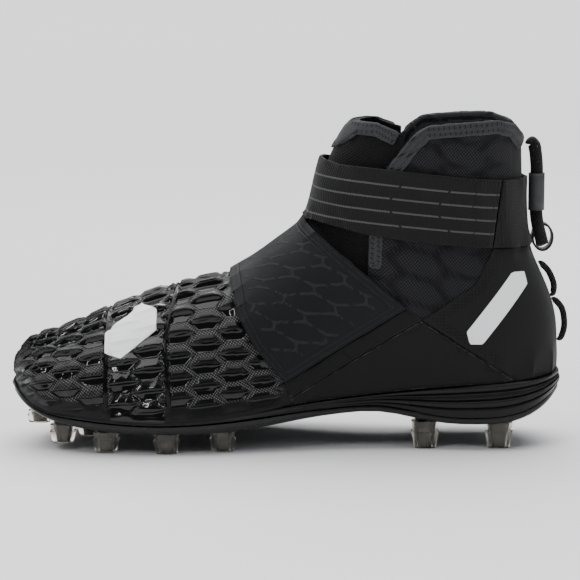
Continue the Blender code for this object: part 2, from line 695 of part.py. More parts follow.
def build_layers(collection, cutters):
    """Tongue, bindings, straps and panels, each cut between two forms of the upper."""
    tongue_mat = material("spacer_mesh", (0.020, 0.020, 0.022), 0.9)
    tape_mat = material("elastic_tape", (0.060, 0.060, 0.064), 0.8)
    strap_mat = material("coated_strap", (0.026, 0.028, 0.034), 0.6)
    web_mat = material("elastic_webbing", (0.040, 0.040, 0.043), 0.85)
    suede_mat = material("smooth_microfibre", (0.030, 0.030, 0.032), 0.75)

    tongue_line = [side_point(p) for p in TONGUE_TOP + TONGUE_SIDE]
    under = -WALL - FIT
    layer("tongue", under - TONGUE_THICKNESS, under, tongue_line, collection, cutters, tongue_mat)

    tape_top = [side_point(p) for p in TONGUE_TOP[:-1]]
    tape = tape_top + offset_line(tape_top, BINDING_WIDTH)[::-1]
    layer("tongue_binding", under + FIT, under + FIT + BINDING, tape, collection, cutters, tape_mat)

    edge = [side_point(p) for p in [BINDING_START] + COLLAR_LINE[1:]]
    edge = offset_line(edge, FIT)
    band = edge + offset_line(edge, BINDING_WIDTH)[::-1]
    layer("collar_binding", FIT, FIT + BINDING, band, collection, cutters, tape_mat)

    front = [side_point(p) for p in STRAP_FRONT]
    rear = [side_point(p) for p in STRAP_REAR]
    layer("midfoot_strap", FIT, FIT + STRAP, front + rear, collection, cutters, strap_mat)

    top_in, low_out = [side_point(p) for p in BAND_END]
    strap_rear, strap_low = rear[0], front[-1]
    drop = (low_out - strap_low).normalized() * FIT
    band = [strap_rear + drop, top_in, low_out, strap_low + drop]

    corner = side_point(PANEL_CORNER)
    end = (corner.x - TOE_X) / SOLE_LENGTH
    start = (low_out.x - TOE_X) / SOLE_LENGTH
    nudge = Vector((2 * FIT, 0.0, -2 * FIT))
    lower = [top_in + Vector((0.0, 0.0, -3 * FIT))] + [low_out + nudge] + rim_line(start + 0.01, end - 0.004)
    for side, near, far in (("inner", -CUTTER_REACH, 0.0), ("outer", 0.0, CUTTER_REACH)):
        layer("strap_base_band_" + side, FIT, FIT + PANEL, band, collection, cutters, suede_mat, near, far)
        layer("lower_quarter_panel_" + side, FIT, FIT + PANEL, lower, collection, cutters, suede_mat,
              near, far)

    ridge = [side_point(p) for p in COUNTER_TOP]
    ridge[0] = ridge[0] + Vector((3 * FIT, 0.0, 0.0))
    beyond = Vector((TOE_X + SOLE_LENGTH * 1.02, 0.0, ridge[-1].z))
    heel_low = Vector((beyond.x, 0.0, station_height("rim", beyond.x) + 3 * FIT))
    counter = ridge + [beyond, heel_low] + rim_line(1.0, end + 0.004)
    layer("heel_counter_panel", FIT, FIT + PANEL, counter, collection, cutters, suede_mat)

    over = FIT + BINDING + FIT
    top_line = [side_point(p) for p in ANKLE_TOP]
    floor_line = [side_point(p) for p in ANKLE_FLOOR]
    strap = layer("ankle_strap", over, over + ANKLE_STRAP, top_line + floor_line, collection, cutters,
                  web_mat)
    far_end = TOE_X + FAR_STRAP_END * SOLE_LENGTH
    box = [Vector((far_end, 0, 0.0)), Vector((far_end + 0.2, 0, 0.0)), Vector((far_end + 0.2, 0, 0.3)),
           Vector((far_end, 0, 0.3))]
    boolean(strap, prism("far_side_cutter", box, cutters, 0.0, CUTTER_REACH), "DIFFERENCE")

    gap = Vector((3 * FIT, 0.0, 0.0))
    tab = [top_line[-1] + gap, floor_line[0] + gap]
    back_x = TOE_X + TAB_END * SOLE_LENGTH
    drop_to = floor_line[0].z - 0.0015
    tab += [Vector((back_x, 0.0, drop_to)), Vector((back_x, 0.0, top_line[-1].z - 0.0015))]
    layer("heel_strap_tab", over, over + ANKLE_STRAP, tab, collection, cutters, suede_mat)


def back_surface(z):
    """X of the upper's back line at a height, between the table's rows."""
    rows = [(STUD_HEIGHT + r["back_rise"] * UPPER_RISE, TOE_X + r["back"] * SOLE_LENGTH)
            for r in UPPER[HEEL_ROW:]]
    for (z_a, x_a), (z_b, x_b) in zip(rows, rows[1:]):
        if z_a <= z <= z_b:
            return x_a + (x_b - x_a) * (z - z_a) / (z_b - z_a)
    return rows[-1][1]


def smooth_route(points, per_span):
    """Points along a smooth curve through the route's own points."""
    route = []
    last = len(points) - 1
    for i in range(last):
        a, b = points[i], points[i + 1]
        before, after = points[max(i - 1, 0)], points[min(i + 2, last)]
        for n in range(per_span):
            t = n / per_span
            route.append(0.5 * (2 * a + (b - before) * t + (2 * before - 5 * a + 4 * b - after) * t**2
                                + (3 * a - before - 3 * b + after) * t**3))
    return route + [points[-1]]


def tube(name, points, radius, sides_level, collection, mat):
    """A cord or rope as a round tube with closed ends."""
    curve = bpy.data.curves.new(name, "CURVE")
    curve.dimensions = "3D"
    curve.bevel_depth = radius
    curve.bevel_resolution = sides_level
    curve.use_fill_caps = True
    spline = curve.splines.new("POLY")
    spline.points.add(len(points) - 1)
    for slot, point in zip(spline.points, points):
        slot.co = (*point, 1.0)
    curve.materials.append(mat)
    obj = bpy.data.objects.new(name, curve)
    collection.objects.link(obj)
    return obj


def build_heel_trim(collection, cutters):
    """Rope pull loop with its sleeve, and the loops of tape and cord down the heel's spine."""
    rope_mat = material("braided_rope", (0.030, 0.030, 0.032), 0.8)
    sleeve_mat = material("rubber_sleeve", (0.075, 0.075, 0.080), 0.55)
    back_x = TOE_X + UPPER[-3]["back"] * SOLE_LENGTH
    clear = FIT + BINDING + FIT + ANKLE_STRAP + FIT
    base = back_x + clear + ROPE_RADIUS - 0.0045
    points = [Vector((base + out, across, STUD_HEIGHT + share * UPPER_RISE))
              for out, across, share in ROPE_ROUTE]
    tube("pull_loop_rope", smooth_route(points, 2), ROPE_RADIUS, 2, collection, rope_mat)

    inner = ROPE_RADIUS + FIT
    outer = inner + SLEEVE_WALL
    centre_x = base + ROPE_ROUTE[4][0]
    top = STUD_HEIGHT + SLEEVE_TOP * UPPER_RISE
    def circle(radius, z):
        return [Vector((centre_x + radius * cos(2 * pi * k / 16), radius * sin(2 * pi * k / 16), z))
                for k in range(16)]
    sections = [circle(outer, top - SLEEVE_LENGTH), circle(outer, top), circle(inner, top),
                circle(inner, top - SLEEVE_LENGTH)]
    place("pull_loop_sleeve", loft_corners(sections, True), collection, sleeve_mat)

    cord_mat = material("spine_cord", (0.045, 0.045, 0.048), 0.7)
    over_panel = FIT + PANEL + FIT
    for name, (top_share, low_share, reach) in SPINE_CORDS.items():
        top_z, low_z = (STUD_HEIGHT + share * UPPER_RISE for share in (top_share, low_share))
        ends = [Vector((back_surface(z - CORD_RADIUS) + over_panel + slack, 0.0, z))
                for z, slack in ((top_z, 0.0), (low_z, 2 * FIT))]
        middle = [Vector((back_surface(z) + over_panel + reach * share, 0.0, z)) for z, share in
                  ((top_z, 0.50), (top_z * 0.75 + low_z * 0.25, 1.0),
                   (top_z * 0.3 + low_z * 0.7, 0.95), (low_z, 0.45))]
        tube(name, smooth_route([ends[0]] + middle + [ends[1]], 2), CORD_RADIUS, 2, collection, cord_mat)

    def loop_line(grow):
        z = STUD_HEIGHT + LOOP_CENTRE * UPPER_RISE
        centre = Vector((back_surface(z + 0.0010) + over_panel + LOOP_HALF_DEPTH + 0.0021, LOOP_ACROSS, z))
        turns = [2 * pi * k / 20 for k in range(20)]
        return [centre + Vector(((LOOP_HALF_DEPTH + grow) * cos(turn), 0.0,
                                 (LOOP_HALF_HEIGHT + grow) * sin(turn))) for turn in turns]
    half = Vector((0.0, LOOP_WIDTH / 2, 0.0))
    rings = [[p - half for p in loop_line(0.0)], [p + half for p in loop_line(0.0)],
             [p + half for p in loop_line(-LOOP_THICKNESS)], [p - half for p in loop_line(-LOOP_THICKNESS)]]
    place("heel_tape_loop", loft_corners(rings, True), collection, cord_mat)


def settle(collection):
    """Move the whole shoe so that its origin is below the middle of its box, on the floor."""
    depsgraph = bpy.context.evaluated_depsgraph_get()
    corners = []
    for obj in collection.objects:
        mesh = obj.evaluated_get(depsgraph).to_mesh()
        corners += [obj.matrix_world @ v.co for v in mesh.vertices]
    low = Vector([min(c[k] for c in corners) for k in range(3)])
    high = Vector([max(c[k] for c in corners) for k in range(3)])
    move = Vector((-(low.x + high.x) / 2, -(low.y + high.y) / 2, -low.z))
    for obj in collection.objects:
        obj.location = obj.location + move
    print("shift", tuple(round(v * 1000, 3) for v in move), "size", tuple((high - low) * 1000))


def main():
    remove_everything()
    parts = new_collection("football_cleat")
    cutters = new_collection("cutters")
    build_midsole(parts)
    build_outsole(parts, cutters)
    for name, stud in STUDS.items():
        build_stud_tip(name, stud, parts)
    build_insole(parts)
    build_upper(parts, cutters)
    build_layers(parts, cutters)
    build_heel_trim(parts, cutters)
    settle(parts)


main()
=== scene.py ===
import bpy
import bmesh
import numpy as np
from math import radians
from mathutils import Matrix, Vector
from mathutils.kdtree import KDTree


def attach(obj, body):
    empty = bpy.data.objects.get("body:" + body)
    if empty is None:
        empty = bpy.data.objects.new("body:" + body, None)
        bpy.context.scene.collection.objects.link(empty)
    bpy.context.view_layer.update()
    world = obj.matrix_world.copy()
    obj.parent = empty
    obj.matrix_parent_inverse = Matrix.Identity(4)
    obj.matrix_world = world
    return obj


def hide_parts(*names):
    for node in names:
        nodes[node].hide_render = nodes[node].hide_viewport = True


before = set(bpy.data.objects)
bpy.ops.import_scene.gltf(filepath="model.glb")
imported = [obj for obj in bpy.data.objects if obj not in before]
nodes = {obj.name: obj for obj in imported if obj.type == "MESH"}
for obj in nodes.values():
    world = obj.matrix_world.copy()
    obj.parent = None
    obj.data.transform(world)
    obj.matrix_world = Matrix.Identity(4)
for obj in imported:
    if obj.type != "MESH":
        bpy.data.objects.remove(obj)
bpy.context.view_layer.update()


# The photo stand: a pale seamless floor, one broad overhead light, three strip lights for the
# crisp edges on the moulded scales, and a long lens that looks slightly down on the inner side.
room = bpy.data.worlds.new("pale_room")
room.use_nodes = True
sky = room.node_tree.nodes["Background"]
sky.inputs["Color"].default_value = (0.86, 0.90, 0.95, 1.0)
sky.inputs["Strength"].default_value = 0.16
bpy.context.scene.world = room

lens = bpy.data.cameras.new("long_lens")
lens.lens = 165.7
lens.sensor_width = 36.0
lens.clip_end = 60.0
camera = bpy.data.objects.new("long_lens", lens)
bpy.context.scene.collection.objects.link(camera)
camera.location = (-0.0002, -1.5027, 0.319)
aim = Vector((-0.0002, -0.0027, 0.086))
camera.rotation_euler = (aim - camera.location).to_track_quat("-Z", "Y").to_euler()
bpy.context.scene.camera = camera


def strip_light(name, place, target, size, power):
    """A flat light of that width and height, turned to face its target."""
    lamp = bpy.data.lights.new(name, "AREA")
    lamp.shape = "RECTANGLE"
    lamp.size = size[0]
    lamp.size_y = size[1]
    lamp.energy = power
    holder = bpy.data.objects.new(name, lamp)
    bpy.context.scene.collection.objects.link(holder)
    holder.location = place
    holder.rotation_euler = (Vector(target) - Vector(place)).to_track_quat("-Z", "Y").to_euler()


overhead = bpy.data.lights.new("overhead", "SUN")
overhead.energy = 5.6
overhead.angle = radians(84)
overhead_holder = bpy.data.objects.new("overhead", overhead)
bpy.context.scene.collection.objects.link(overhead_holder)
overhead_holder.rotation_euler = (radians(-18), radians(-6), 0)
strip_light("strip_front", (-0.75, -0.95, 1.05), (-0.05, 0, 0.06), size=(0.09, 0.50), power=5.5)
strip_light("strip_heel", (0.95, -0.75, 0.80), (0.08, 0, 0.08), size=(0.10, 0.50), power=2.5)
strip_light("strip_back", (0.1, 1.1, 0.9), (0.0, 0, 0.08), size=(0.90, 0.16), power=3.2)


class Level:
    """One value in a material, so that plain arithmetic on it adds the Math nodes."""

    def __init__(self, finish, socket):
        self.finish = finish
        self.socket = socket

    def act(self, operation, first, second=0.0):
        return self.finish.node("ShaderNodeMath", {"operation": operation}, {0: first, 1: second})

    def __add__(self, other):
        return self.act("ADD", self, other)

    def __radd__(self, other):
        return self.act("ADD", other, self)

    def __sub__(self, other):
        return self.act("SUBTRACT", self, other)

    def __rsub__(self, other):
        return self.act("SUBTRACT", other, self)

    def __mul__(self, other):
        return self.act("MULTIPLY", self, other)

    def __rmul__(self, other):
        return self.act("MULTIPLY", other, self)

    def __truediv__(self, other):
        return self.act("DIVIDE", self, other)

    def __rtruediv__(self, other):
        return self.act("DIVIDE", other, self)

    def __abs__(self):
        return self.act("ABSOLUTE", self)

    def __mod__(self, other):
        return self.act("FLOORED_MODULO", self, other)

    def least(self, other):
        return self.act("MINIMUM", self, other)

    def most(self, other):
        return self.act("MAXIMUM", self, other)

    def swing(self, reach):
        """Back and forth between nothing and that reach, as a zigzag goes."""
        return self.act("PINGPONG", self, reach)


class Finish:
    """A material for one real surface: fixed numbers on its shader, patterns wired to the rest."""

    def __init__(self, name, fixed):
        self.material = bpy.data.materials.new(name)
        self.material.use_nodes = True
        self.tree = self.material.node_tree
        self.shader = self.tree.nodes["Principled BSDF"]
        for socket, value in fixed.items():
            self.shader.inputs[socket].default_value = value

    def node(self, kind, settings, sockets, output=0):
        made = self.tree.nodes.new(kind)
        for setting, value in settings.items():
            setattr(made, setting, value)
        for socket, value in sockets.items():
            if isinstance(value, Level):
                self.tree.links.new(value.socket, made.inputs[socket])
            else:
                made.inputs[socket].default_value = value
        return Level(self, made.outputs[output])

    def wear(self, **patterns):
        """Wires patterns to the shader's sockets; Base_Color stands for Base Color."""
        for socket, value in patterns.items():
            self.tree.links.new(value.socket, self.shader.inputs[socket.replace("_", " ")])

    def place(self):
        return self.node("ShaderNodeTexCoord", {}, {}, "Object")

    def cloth(self):
        return self.node("ShaderNodeUVMap", {"uv_map": "cloth"}, {})

    def read(self, name):
        return self.node("ShaderNodeAttribute", {"attribute_name": name}, {}, "Fac")

    def part(self, vector, axis):
        return self.node("ShaderNodeSeparateXYZ", {}, {0: vector}, axis)

    def turned(self, vector, angle, stretch=(1.0, 1.0, 1.0)):
        return self.node("ShaderNodeMapping", {}, {0: vector, 2: (0, 0, radians(angle)), 3: stretch})

    def noise(self, vector, size, detail=3.0):
        sockets = {"Vector": vector, "Scale": 1 / size, "Detail": detail}
        return self.node("ShaderNodeTexNoise", {}, sockets)

    def dots(self, vector, pitch):
        """Distance to the nearest point of an even grid, in shares of its pitch."""
        grid = {"Vector": vector, "Scale": 1 / pitch, "Randomness": 0.0}
        return self.node("ShaderNodeTexVoronoi", {"voronoi_dimensions": "2D"}, grid)

    def step(self, value, low, high):
        """Rises softly from nothing to one as the value goes from low to high."""
        soft = {"interpolation_type": "SMOOTHSTEP"}
        return self.node("ShaderNodeMapRange", soft, {0: value, 1: low, 2: high})

    def mix(self, share, first, second):
        sockets = {0: share, 6: first, 7: second}
        return self.node("ShaderNodeMix", {"data_type": "RGBA"}, sockets, 2)

    def bump(self, height, strength=1.0):
        """A normal from a height in millimetres."""
        sockets = {"Height": height, "Distance": 0.001, "Strength": strength}
        return self.node("ShaderNodeBump", {}, sockets)


def grey(value, blue=0.0):
    return (value, value, value * (1 + blue), 1.0)


paper = Finish("seamless_paper", {"Roughness": 0.75, "Specular IOR Level": 0.25})
mottle = paper.noise(paper.place(), 0.9, 2.0)
farther = paper.step(paper.part(paper.place(), 1), 0.1, 4.0)
paper.wear(Base_Color=paper.mix(farther * 0.9 + mottle * 0.1, grey(0.81, 0.02), grey(0.90, 0.02)))
floor_shape = bmesh.new()
bmesh.ops.create_circle(floor_shape, cap_ends=True, radius=14.0, segments=64)
floor_mesh = bpy.data.meshes.new("floor")
floor_shape.to_mesh(floor_mesh)
floor = bpy.data.objects.new("floor", floor_mesh)
bpy.context.scene.collection.objects.link(floor)
floor.data.materials.append(paper.material)


# The outsole plate: one moulding of smoky see-through nylon with the stud cores on it, cemented
# under the midsole. Its top edge shows as a glossy lip all round.
def table_of(items, field, width=3, kind=float):
    """One field of a mesh's points, edges, faces or corners, with a row for each of them."""
    table = np.empty(len(items) * width, kind)
    items.foreach_get(field, table)
    return table.reshape(-1, width)


def points_of(mesh):
    """A mesh's points as a table of x, y, z in metres."""
    return table_of(mesh.vertices, "co")


def move_points(mesh, places):
    """Moves a mesh's points to new places in metres."""
    mesh.vertices.foreach_set("co", places.ravel())
    mesh.update()


def merged(source):
    """A CAD node's mesh with its loose triangles merged and paired, ready to be shaped."""
    shape = bmesh.new()
    shape.from_mesh(nodes[source].data)
    bmesh.ops.remove_doubles(shape, verts=shape.verts[:], dist=1e-5)
    flat = dict(angle_face_threshold=radians(40), angle_shape_threshold=radians(60))
    bmesh.ops.join_triangles(shape, faces=shape.faces[:], **flat)
    return shape


def calmed(shape, chosen):
    """Where the chosen points of a mesh lie once their up and down zigzag is evened out."""
    def evened(table, share):
        result = table.copy()
        for number in chosen:
            ring = [edge.other_vert(shape.verts[number]).index for edge in shape.verts[number].link_edges]
            result[number] = table[number] * (1 - share) + table[ring].mean(0) * share
        return result
    table = np.array([vert.co for vert in shape.verts])
    inward, back_out = 0.5, -0.53
    return evened(evened(table, inward), back_out)


def rounded_copy(name, source, rounds, crease, material, rough_spot=None, reach=8.0):
    """A piece from a copy of a CAD node, rounded between its sharp edges and drawn back through
    the node's own points, so that rounding doesn't shrink it. No point moves over reach, in mm."""
    shape = merged(source)
    mark = shape.edges.layers.float.new("crease_edge")
    for edge in shape.edges:
        if len(edge.link_faces) == 2 and edge.calc_face_angle() > radians(crease):
            edge[mark] = 1.0
    shape.verts.index_update()
    shape.verts.ensure_lookup_table()
    goal = np.array([vert.co for vert in shape.verts])
    if rough_spot:
        goal = calmed(shape, [vert.index for vert in shape.verts if rough_spot(vert)])
    mesh = bpy.data.meshes.new(name)
    shape.to_mesh(mesh)
    shape.free()
    piece = bpy.data.objects.new(name, mesh)
    bpy.context.scene.collection.objects.link(piece)
    mesh.materials.append(material)
    rounding = piece.modifiers.new("rounding", "SUBSURF")
    rounding.levels = rounds
    rounding.render_levels = rounds
    cage = goal.copy()
    corrections, pull = 4, 0.8
    for _ in range(corrections):
        move_points(mesh, cage)
        graph = bpy.context.evaluated_depsgraph_get()
        graph.update()
        got = points_of(piece.evaluated_get(graph).data)[:len(goal)]
        cage = cage + (goal - got) * pull
        moved = np.linalg.norm(cage - goal, axis=1)[:, None]
        cage = goal + (cage - goal) * np.minimum(1.0, reach / 1000 / np.maximum(moved, 1e-9))
    move_points(mesh, cage)
    settle(piece, crease)
    return piece


def settle(piece, sharp):
    """Fixes the modifiers into the mesh and shades it smooth between its sharp edges."""
    graph = bpy.context.evaluated_depsgraph_get()
    fixed = bpy.data.meshes.new_from_object(piece.evaluated_get(graph))
    piece.modifiers.clear()
    piece.data = fixed
    fixed.shade_smooth()
    fixed.set_sharp_from_angle(angle=radians(sharp))


def soften(mesh, chosen, rounds):
    """Evens out the chosen points toward their neighbours that many times."""
    spots = points_of(mesh)
    ends = table_of(mesh.edges, "vertices", 2, int)
    near, far = ends.T
    ties = np.bincount(ends.ravel(), minlength=len(spots))[:, None]
    for _ in range(rounds):
        total = np.zeros_like(spots)
        np.add.at(total, near, spots[far])
        np.add.at(total, far, spots[near])
        spots[chosen] = (spots * 0.5 + total / ties * 0.5)[chosen]
    move_points(mesh, spots)


def finish_piece(piece, slot, *sources):
    """Fixes a piece to the shoe's one body, in the place of the CAD nodes that it stands for."""
    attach(piece, "root")
    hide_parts(*sources)


plate_gloss = {"Specular IOR Level": 0.20, "Coat Weight": 0.12, "Coat Roughness": 0.04}
plate_look = Finish("smoky_nylon", plate_gloss)
haze = plate_look.noise(plate_look.place(), 0.018)
streaks = plate_look.turned(plate_look.place(), 0, (0.25, 1.0, 1.6))
scuffs = plate_look.noise(streaks, 0.0012, 4.0)
scuff_mask = plate_look.step(scuffs, 0.62, 0.70)
smoke = plate_look.mix(haze, (0.004, 0.004, 0.0045, 1), (0.012, 0.012, 0.0125, 1))
plate_look.wear(Base_Color=plate_look.mix(scuff_mask * 0.35, smoke, grey(0.05)))
plate_look.wear(Roughness=0.16 + haze * 0.08 + scuff_mask * 0.25)
plate_look.wear(Normal=plate_look.bump(plate_look.noise(plate_look.place(), 0.006) * 0.06))
plate = rounded_copy("outsole_moulding", "outsole_plate", 1, 32, plate_look.material, reach=0.8)
finish_piece(plate, "smoked_plate", "outsole_plate")


# Stud tips: clear amber sheaths pressed over the stud cores of the plate, three steps each, with
# rounded edges. Fourteen alike, kept where the plate's cores are.
tip_look = Finish("clear_tip", {"IOR": 1.18, "Transmission Weight": 0.97, "Coat Weight": 0.3})
cloud = tip_look.noise(tip_look.place(), 0.004)
tip_look.wear(Base_Color=tip_look.mix(cloud, (0.86, 0.82, 0.70, 1), (0.97, 0.94, 0.86, 1)))
tip_look.wear(Roughness=0.01 + cloud * 0.04)
for source in sorted(name for name in nodes if name.startswith("stud_tip_")):
    shape = bmesh.new()
    shape.from_mesh(nodes[source].data)
    bmesh.ops.remove_doubles(shape, verts=shape.verts[:], dist=1e-5)
    bmesh.ops.dissolve_limit(shape, angle_limit=radians(2), verts=shape.verts[:], edges=shape.edges[:])
    mesh = bpy.data.meshes.new(source.replace("stud_tip", "clear_sheath"))
    shape.to_mesh(mesh)
    shape.free()
    tip = bpy.data.objects.new(mesh.name, mesh)
    bpy.context.scene.collection.objects.link(tip)
    mesh.materials.append(tip_look.material)
    rounding = tip.modifiers.new("rounded_edges", "BEVEL")
    rounding.width = 0.00035
    rounding.segments = 2
    rounding.limit_method = "ANGLE"
    rounding.angle_limit = radians(30)
    settle(tip, 40)
    finish_piece(tip, "clear_tip", source)


# Midsole: one satin black foam carrier between upper and plate, with a thin welt at its top and
# three long grooves round the heel. Cemented to both.
foam_gloss = {"Specular IOR Level": 0.20, "Coat Weight": 0.05, "Coat Roughness": 0.15}
foam_look = Finish("satin_foam", foam_gloss)
grain = foam_look.noise(foam_look.place(), 0.0007, 5.0)
cast = foam_look.noise(foam_look.place(), 0.03)
foam_look.wear(Base_Color=foam_look.mix(cast, grey(0.0035), grey(0.0080)))
foam_look.wear(Roughness=0.26 + cast * 0.16 + grain * 0.08)
foam_look.wear(Normal=foam_look.bump(grain * 0.06))
midsole = rounded_copy("midsole_carrier", "midsole", 2, 34, foam_look.material, reach=1.0)
finish_piece(midsole, "foam_black", "midsole")


# Insole: a thin foam footbed with a brushed black cover, dropped in loose through the collar.
footbed_look = Finish("brushed_cover", {"Roughness": 0.85, "Sheen Weight": 0.3})
nap = footbed_look.noise(footbed_look.place(), 0.0006, 5.0)
footbed_look.wear(Base_Color=footbed_look.mix(nap, grey(0.012), grey(0.040)))
footbed_look.wear(Roughness=0.75 + nap * 0.15)
footbed_look.wear(Normal=footbed_look.bump(nap * 0.15))
footbed = rounded_copy("footbed", "insole", 1, 45, footbed_look.material)
finish_piece(footbed, "sockliner", "insole")


# Upper: a one-piece sock of black knit with a glossy urethane skin moulded over the forefoot in
# rows of raised scales, and a soft mesh quarter. Lasted over the insole and cemented inside
# the midsole's welt. The printed mark's place holds a plain white hexagon.
toe_bend, toe_radius = -110.8, 46.0
foot_middle, foot_radius = 30.0, 48.0
ankle_middle, ankle_radius = 82.0, 40.0


def write_field(mesh, name, values):
    """Stores one number a point, for a material to read."""
    mesh.attributes.new(name, "FLOAT", "POINT").data.foreach_set("value", np.asarray(values, float))


def round_foot(points):
    """Places along the foot and round it from the top, in mm, with the toe's curve unrolled."""
    along = points[:, 0] * 1000
    bent = np.clip((toe_bend - along) / toe_radius, 0.0, 1.0)
    along = np.where(along < toe_bend, toe_bend - toe_radius * np.arcsin(bent), along)
    angle = np.arctan2(points[:, 1], points[:, 2] - foot_middle / 1000)
    return along, angle * foot_radius


def round_ankle(points):
    """Places round the ankle from its front, and up, in mm."""
    angle = np.arctan2(points[:, 1], ankle_middle / 1000 - points[:, 0])
    return angle * ankle_radius, points[:, 2] * 1000


def corners_of(mesh):
    """The number of the point at each corner of each face."""
    return table_of(mesh.loops, "vertex_index", 1, int).ravel()


def lay_cloth(mesh, along, up):
    """A UV map in metres for weaves and stitches, from places given in mm."""
    pairs = np.column_stack((along, up))[corners_of(mesh)] / 1000.0
    mesh.uv_layers.new(name="cloth").data.foreach_set("uv", pairs.ravel())


def hex_cells(along, up, pitch, rise, point):
    """Place in the nearest of a field of elongated hexagons, and the distance in from its edge."""
    best = np.full(len(along), -1e9)
    local_s = np.zeros(len(along))
    local_t = np.zeros(len(along))
    for column in (-1, 0, 1):
        k = np.round(along / pitch) + column
        offset = np.where(k % 2, rise / 2, 0.0)
        s = along - k * pitch
        t = up - offset - np.round((up - offset) / rise) * rise
        half = (pitch + point) / 2
        slope = rise / 2 / point
        slant = ((half - np.abs(s)) * slope - np.abs(t)) / np.hypot(slope, 1.0)
        inside = np.minimum(rise / 2 - np.abs(t), slant)
        nearer = inside > best
        best = np.where(nearer, inside, best)
        local_s = np.where(nearer, s, local_s)
        local_t = np.where(nearer, t, local_t)
    return local_s, local_t, best


def smooth(value, low, high):
    """Rises softly from nothing to one as the value goes from low to high."""
    share = np.clip((value - low) / (high - low), 0.0, 1.0)
    return share * share * (3 - 2 * share)


def hexagon_mark(x, z, centre, length, width, tilt):
    """Distance in from the edge of one tilted elongated hexagon in the side view, in mm."""
    turn = radians(tilt)
    s = (x - centre[0]) * np.cos(turn) + (z - centre[1]) * np.sin(turn)
    t = (z - centre[1]) * np.cos(turn) - (x - centre[0]) * np.sin(turn)
    return np.minimum(width / 2 - np.abs(t), (length / 2 - np.abs(s)) * 0.80 - np.abs(t) * 0.60)


def sharp_rows(source):
    """Points a millimetre apart along the sharp edges of a CAD node."""
    shape = merged(source)
    rows = []
    for edge in shape.edges:
        if len(edge.link_faces) == 2 and edge.calc_face_angle() > radians(40):
            first, second = (vert.co.copy() for vert in edge.verts)
            steps = max(2, round(edge.calc_length() / 0.001))
            rows += [first.lerp(second, share / steps) for share in range(steps)]
    shape.free()
    return rows


def border_field(mesh, source):
    """Distance of each point of a piece from the sharp edges of a CAD node, in mm."""
    rows = sharp_rows(source)
    tree = KDTree(len(rows))
    for number, row in enumerate(rows):
        tree.insert(row, number)
    tree.balance()
    return [tree.find(spot)[2] * 1000 for spot in points_of(mesh)]


def even_rim(mesh, source):
    """Draws the short straight runs of a rim into one curve, by moving points near it up or down."""
    lowest, most_move = 120, 2.5
    turn, height = round_ankle(np.array(sharp_rows(source)))
    places = np.arange(-124.0, 125.0, 1.0)
    high = np.array([height[np.abs(turn - place) < 1.0].max(initial=0) for place in places])
    spread = np.exp(-0.5 * (np.arange(-15, 16) / 5.0) ** 2)
    known = np.where(high > lowest, high, 0)
    share = np.convolve(high > lowest, spread, "same")
    evened = np.convolve(known, spread, "same") / np.maximum(share, 1e-6)
    spots = points_of(mesh)
    turn, height = round_ankle(spots)
    rim = np.interp(turn, places, high)
    move = np.clip(np.interp(turn, places, evened) - rim, -most_move, most_move)
    spots[:, 2] += move * smooth(height, rim - 28, rim - 11) * (rim > lowest) / 1000
    move_points(mesh, spots)


def outward_faces(mesh):
    """True for each face that looks away from the inside of the foot, and the faces' centres."""
    keel_front, keel_back, keel_height = -0.113, 0.097, 0.042
    shaft_front, shaft_low, shaft_axis = 0.022, 0.075, 0.087
    count = len(mesh.polygons)
    centres = table_of(mesh.polygons, "center")
    normals = table_of(mesh.polygons, "normal")
    keel = np.clip(centres[:, 0], keel_front, keel_back)
    core = np.column_stack((keel, np.zeros(count), np.full(count, keel_height)))
    shaft = (centres[:, 2] > shaft_low) & (centres[:, 0] > shaft_front)
    upright = np.column_stack((np.full(count, shaft_axis), np.zeros(count), centres[:, 2]))
    core[shaft] = upright[shaft]
    return ((centres - core) * normals).sum(1) > 0, centres


# Lines in the side view, in mm: the strap's front edge and the rear rib as how far along they are
# at a height, and the welt's top and the panels' top as how high they are at a place along.
strap_line = ([39.5, 59.4, 77.0, 95.8, 135.8], [-3.1, -19.8, -29.5, -33.8, -39.4])
rib_line = ([18, 45, 62, 78, 92], [-67.3, -68.3, -69.8, -66.8, -62.8])
panel_line = ([32, 68, 86, 98, 109, 114], [30, 66, 79, 88, 108, 200])
welt_line = ([-157, -148, -136, -117, -95, -71, -46, -21, 4, 29, 53],
             [36, 29, 24, 22, 20, 19, 20, 23, 27, 30, 33])


def on_scales(vert):
    """Points of the CAD skin's coarse scales, which the fine ones stand in for."""
    front = vert.co.x * 1000 < np.interp(vert.co.z * 1000, *strap_line)
    return front and vert.co.z * 1000 - np.interp(vert.co.x * 1000, *welt_line) > 5.0


upper = rounded_copy("knit_upper", "upper", 2, 48, nodes["upper"].data.materials[0], on_scales)
even_rim(upper.data, "upper")
soften(upper.data, points_of(upper.data)[:, 2] > 0.152, 8)
faces_out, centres = outward_faces(upper.data)
ahead = centres[:, 0] * 1000 < np.interp(centres[:, 2] * 1000, *strap_line) + 4
fine = bmesh.new()
fine.from_mesh(upper.data)
fine.faces.ensure_lookup_table()
scaled = [face for face, out, front in zip(fine.faces, faces_out, ahead) if out and front]
edges = {edge for face in scaled for edge in face.edges}
bmesh.ops.subdivide_edges(fine, edges=list(edges), cuts=2, use_grid_fill=True, smooth=0.0)
fine.to_mesh(upper.data)
fine.free()

